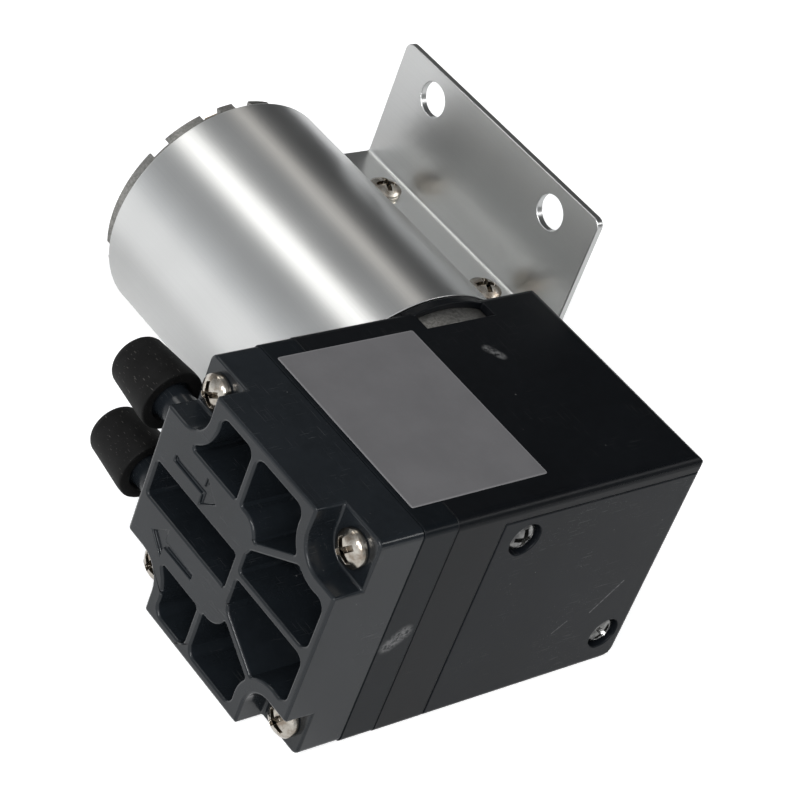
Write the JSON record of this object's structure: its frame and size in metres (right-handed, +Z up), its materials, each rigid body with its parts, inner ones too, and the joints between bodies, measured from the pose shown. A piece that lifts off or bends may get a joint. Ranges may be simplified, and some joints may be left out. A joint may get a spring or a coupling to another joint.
{
  "type": "mini diaphragm vacuum pump",
  "caption": "Small diaphragm vacuum pump: ribbed plastic head with capped hose nozzles, crankcase and a brushed motor in a clamped sheet-metal holder with a drilled flange.",
  "frame": {"origin": "on the crankcase underside, straight below the motor shaft axis, at the middle of the block's width", "axes": "+X from the ribbed head face to the drilled mounting flange, +Y along the motor shaft from the side cover to the motor's rear, +Z up through the label face"},
  "size_m": [0.054, 0.0707, 0.0358],
  "materials": {
    "cover_plastic": "satin, fine glass-fibre grain",
    "plate_plastic": "satin",
    "case_plastic": "satin, fine grain, light scuffs",
    "side_plastic": "satin, fine grain, dusty",
    "black_rubber": "matte",
    "diaphragm_rubber": "matte",
    "white_nylon": "satin",
    "end_cap_plastic": "satin",
    "label_foil": "matte metallised foil, blank",
    "can_steel": "zinc plated, satin",
    "holder_aluminium": "bare rolled sheet, satin",
    "screw_nickel": "nickel plated, bright",
    "screw_steel": "zinc plated, dull",
    "bearing_steel": "ground",
    "shaft_steel": "ground",
    "brass": "machined",
    "bronze": "sintered, oiled",
    "copper": null,
    "magnet_ferrite": "sintered ferrite",
    "core_steel": "laminated, dark edge",
    "carbon": "pressed carbon",
    "spring_steel": "rolled"
  },
  "bodies": {
    "pump_body": {"head_cover": "cover_plastic", "head_gasket": "black_rubber", "valve_plate": "plate_plastic", "diaphragm": "diaphragm_rubber", "crankcase": "case_plastic", "side_cover": "side_plastic", "side_cover_screws": "screw_steel", "head_screws": "screw_nickel", "label": "label_foil", "motor_screws": "screw_steel", "motor_can": "can_steel", "front_bearing": "bronze", "magnets": "magnet_ferrite", "magnet_clips": "spring_steel", "brushes": "carbon", "brush_arms": "brass", "motor_end_cap": "end_cap_plastic", "rear_bearing": "bronze", "terminals": "brass", "earth_tab": "brass", "holder": "holder_aluminium", "holder_screws": "screw_nickel", "holder_nuts": "screw_steel"},
    "rotor": {"motor_shaft": "shaft_steel", "shaft_spacers": "white_nylon", "armature_core": "core_steel", "windings": "copper", "commutator": "copper", "eccentric": "brass", "grub_screw": "screw_steel", "pin_clip": "spring_steel", "bearing_inner": "bearing_steel"},
    "rod": {"connecting_rod": "white_nylon", "bearing_outer": "bearing_steel", "bearing_balls": "bearing_steel", "clamp_disc": "shaft_steel", "diaphragm_screw": "screw_steel"},
    "inlet_flap": {"inlet_flap": "black_rubber"},
    "outlet_flap": {"outlet_flap": "black_rubber"},
    "inlet_cap": {"inlet_cap": "black_rubber"},
    "outlet_cap": {"outlet_cap": "black_rubber"}
  },
  "joints": [
    {"name": "rotor_spin", "type": "hinge", "parent": "pump_body", "child": "rotor", "pos_m": [0, 0, 0.0147], "axis": [0, 1, 0], "continuous": true, "deforming": ["diaphragm"]},
    {"name": "rod_orbit", "type": "hinge", "parent": "rotor", "child": "rod", "pos_m": [-0.001, 0, 0.0147], "axis": [0, 1, 0], "continuous": true},
    {"name": "inlet_flap_hinge", "type": "hinge", "parent": "pump_body", "child": "inlet_flap", "pos_m": [-0.02285, 0, 0.021], "axis": [0, -1, 0], "range_deg": [0, 10]},
    {"name": "outlet_flap_hinge", "type": "hinge", "parent": "pump_body", "child": "outlet_flap", "pos_m": [-0.02365, 0, 0.0117], "axis": [0, 1, 0], "range_deg": [0, 10]},
    {"name": "inlet_cap_slide", "type": "slide", "parent": "pump_body", "child": "inlet_cap", "axis": [0, 1, 0], "range_m": [0, 0.012]},
    {"name": "outlet_cap_slide", "type": "slide", "parent": "pump_body", "child": "outlet_cap", "axis": [0, 1, 0], "range_m": [0, 0.012]}
  ],
  "couplings": [
    {"joint": "rod_orbit", "follows": "rotor_spin", "ratio": -1}
  ]
}
